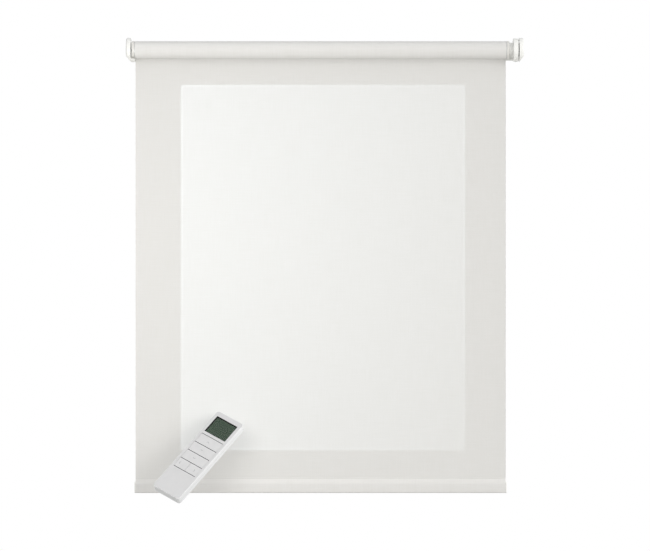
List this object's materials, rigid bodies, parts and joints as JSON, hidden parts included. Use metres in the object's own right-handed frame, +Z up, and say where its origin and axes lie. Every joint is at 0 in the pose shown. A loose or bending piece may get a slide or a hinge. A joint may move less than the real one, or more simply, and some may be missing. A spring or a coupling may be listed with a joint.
{
  "type": "motorized roller blind",
  "caption": "Motorised roller blind: translucent fabric on a tube with a battery motor inside, two wall brackets, a weighted hem and a hand-held remote control with a display.",
  "frame": {"origin": "centre of the four wall screws, on the wall plane, level with the roller axis", "axes": "+X along the roller towards the motor, +Y into the wall, +Z up"},
  "size_m": [0.6, 0.1346, 0.6972],
  "materials": {
    "white_plastic": "fine moulded satin",
    "painted_steel": "white powder coat",
    "tube_aluminium": "mill finish",
    "bar_aluminium": "mill finish",
    "blind_fabric": "translucent plain weave",
    "spline_plastic": "extruded",
    "steel": "zinc plated",
    "spring_steel": "drawn wire",
    "grey_plastic": "moulded",
    "black_plastic": "moulded",
    "board_green": "solder mask",
    "cell_wrap": "shrink sleeve",
    "light_lens": "diffusing lens",
    "face_plastic": "smooth moulded",
    "key_plastic": "smooth moulded",
    "clear_plastic": "polished",
    "display_grey": "reflective liquid crystal",
    "keypad_rubber": "silicone",
    "brass": "nickel flash"
  },
  "bodies": {
    "brackets_and_motor": {"idle_bracket": "painted_steel", "motor_bracket": "painted_steel", "idle_bracket_cover": "white_plastic", "motor_bracket_cover": "white_plastic", "motor_head": "white_plastic", "motor_fixing_lug": "steel", "motor_lug_screws": "steel", "motor_casing": "steel", "control_board": "board_green", "battery_cells": "cell_wrap", "drive_motor": "steel", "gearbox": "grey_plastic", "charge_socket": "steel", "status_light": "light_lens", "fabric_drop": "blind_fabric"},
    "roller": {"roller_tube": "tube_aluminium", "fabric_spline": "spline_plastic", "fabric_roll": "blind_fabric", "idle_plug": "white_plastic", "idle_spring": "spring_steel", "crown_ring": "white_plastic", "drive_wheel": "grey_plastic", "drive_wheel_screw": "steel", "output_shaft": "steel"},
    "hem": {"hem_bar": "bar_aluminium", "hem_cap_left": "white_plastic", "hem_cap_right": "white_plastic", "hem_pocket": "blind_fabric"},
    "idle_pin": {"idle_pin": "steel"},
    "lock_clip": {"motor_lock_clip": "spring_steel"},
    "set_button": {"set_button": "grey_plastic"},
    "remote": {"remote_rear_shell": "white_plastic", "remote_front_shell": "white_plastic", "remote_face_plate": "face_plastic", "remote_window": "clear_plastic", "remote_window_gasket": "black_plastic", "remote_display": "display_grey", "remote_circuit_board": "board_green", "remote_keypad": "keypad_rubber", "remote_switches": "steel", "remote_coin_cell": "steel", "remote_cell_holder": "black_plastic", "remote_contacts": "brass", "remote_screws": "steel"},
    "cell_door": {"remote_cell_door": "white_plastic"},
    "pairing_button": {"pairing_button": "grey_plastic"},
    "key_up": {"key_up": "key_plastic"},
    "key_stop": {"key_stop": "key_plastic"},
    "key_down": {"key_down": "key_plastic"},
    "key_previous": {"key_previous": "key_plastic"},
    "key_next": {"key_next": "key_plastic"}
  },
  "joints": [
    {"name": "roller_turn", "type": "hinge", "parent": "brackets_and_motor", "child": "roller", "pos_m": [0, -0.038, 0], "axis": [1, 0, 0], "range_deg": [0, 2430]},
    {"name": "hem_bar_lift", "type": "slide", "parent": "brackets_and_motor", "child": "hem", "axis": [0, 0, 1], "range_m": [0, 0.626], "deforming": ["fabric_drop"]},
    {"name": "idle_pin_press", "type": "slide", "parent": "roller", "child": "idle_pin", "axis": [1, 0, 0], "range_m": [0, 0.006], "stiffness_N_per_m": 400, "springref_m": -0.005, "deforming": ["idle_spring"]},
    {"name": "lock_clip_lift", "type": "slide", "parent": "brackets_and_motor", "child": "lock_clip", "axis": [0, 0, 1], "range_m": [0, 0.008]},
    {"name": "set_button_press", "type": "slide", "parent": "brackets_and_motor", "child": "set_button", "axis": [0, -0.9135, 0.4067], "range_m": [0, 0.0005], "stiffness_N_per_m": 1500, "springref_m": -0.0004},
    {"name": "remote_lift_away", "type": "slide", "parent": "brackets_and_motor", "child": "remote", "axis": [0, -1, 0], "range_m": [0, 0.2]},
    {"name": "cell_door_pull", "type": "slide", "parent": "remote", "child": "cell_door", "axis": [0.1257, 0.7773, -0.6164], "range_m": [0, 0.01]},
    {"name": "pairing_button_press", "type": "slide", "parent": "remote", "child": "pairing_button", "axis": [-0.1257, -0.7773, 0.6164], "range_m": [0, 0.0004], "stiffness_N_per_m": 1200, "springref_m": -0.0004},
    {"name": "key_up_press", "type": "slide", "parent": "remote", "child": "key_up", "axis": [0.1257, 0.7773, -0.6164], "range_m": [0, 0.0005], "stiffness_N_per_m": 1200, "springref_m": -0.0005},
    {"name": "key_stop_press", "type": "slide", "parent": "remote", "child": "key_stop", "axis": [0.1257, 0.7773, -0.6164], "range_m": [0, 0.0005], "stiffness_N_per_m": 1200, "springref_m": -0.0005},
    {"name": "key_down_press", "type": "slide", "parent": "remote", "child": "key_down", "axis": [0.1257, 0.7773, -0.6164], "range_m": [0, 0.0005], "stiffness_N_per_m": 1200, "springref_m": -0.0005},
    {"name": "key_previous_press", "type": "slide", "parent": "remote", "child": "key_previous", "axis": [0.1257, 0.7773, -0.6164], "range_m": [0, 0.0005], "stiffness_N_per_m": 1200, "springref_m": -0.0005},
    {"name": "key_next_press", "type": "slide", "parent": "remote", "child": "key_next", "axis": [0.1257, 0.7773, -0.6164], "range_m": [0, 0.0005], "stiffness_N_per_m": 1200, "springref_m": -0.0005}
  ],
  "couplings": [
    {"joint": "hem_bar_lift", "follows": "roller_turn", "m_per_rad": 0.014758}
  ]
}
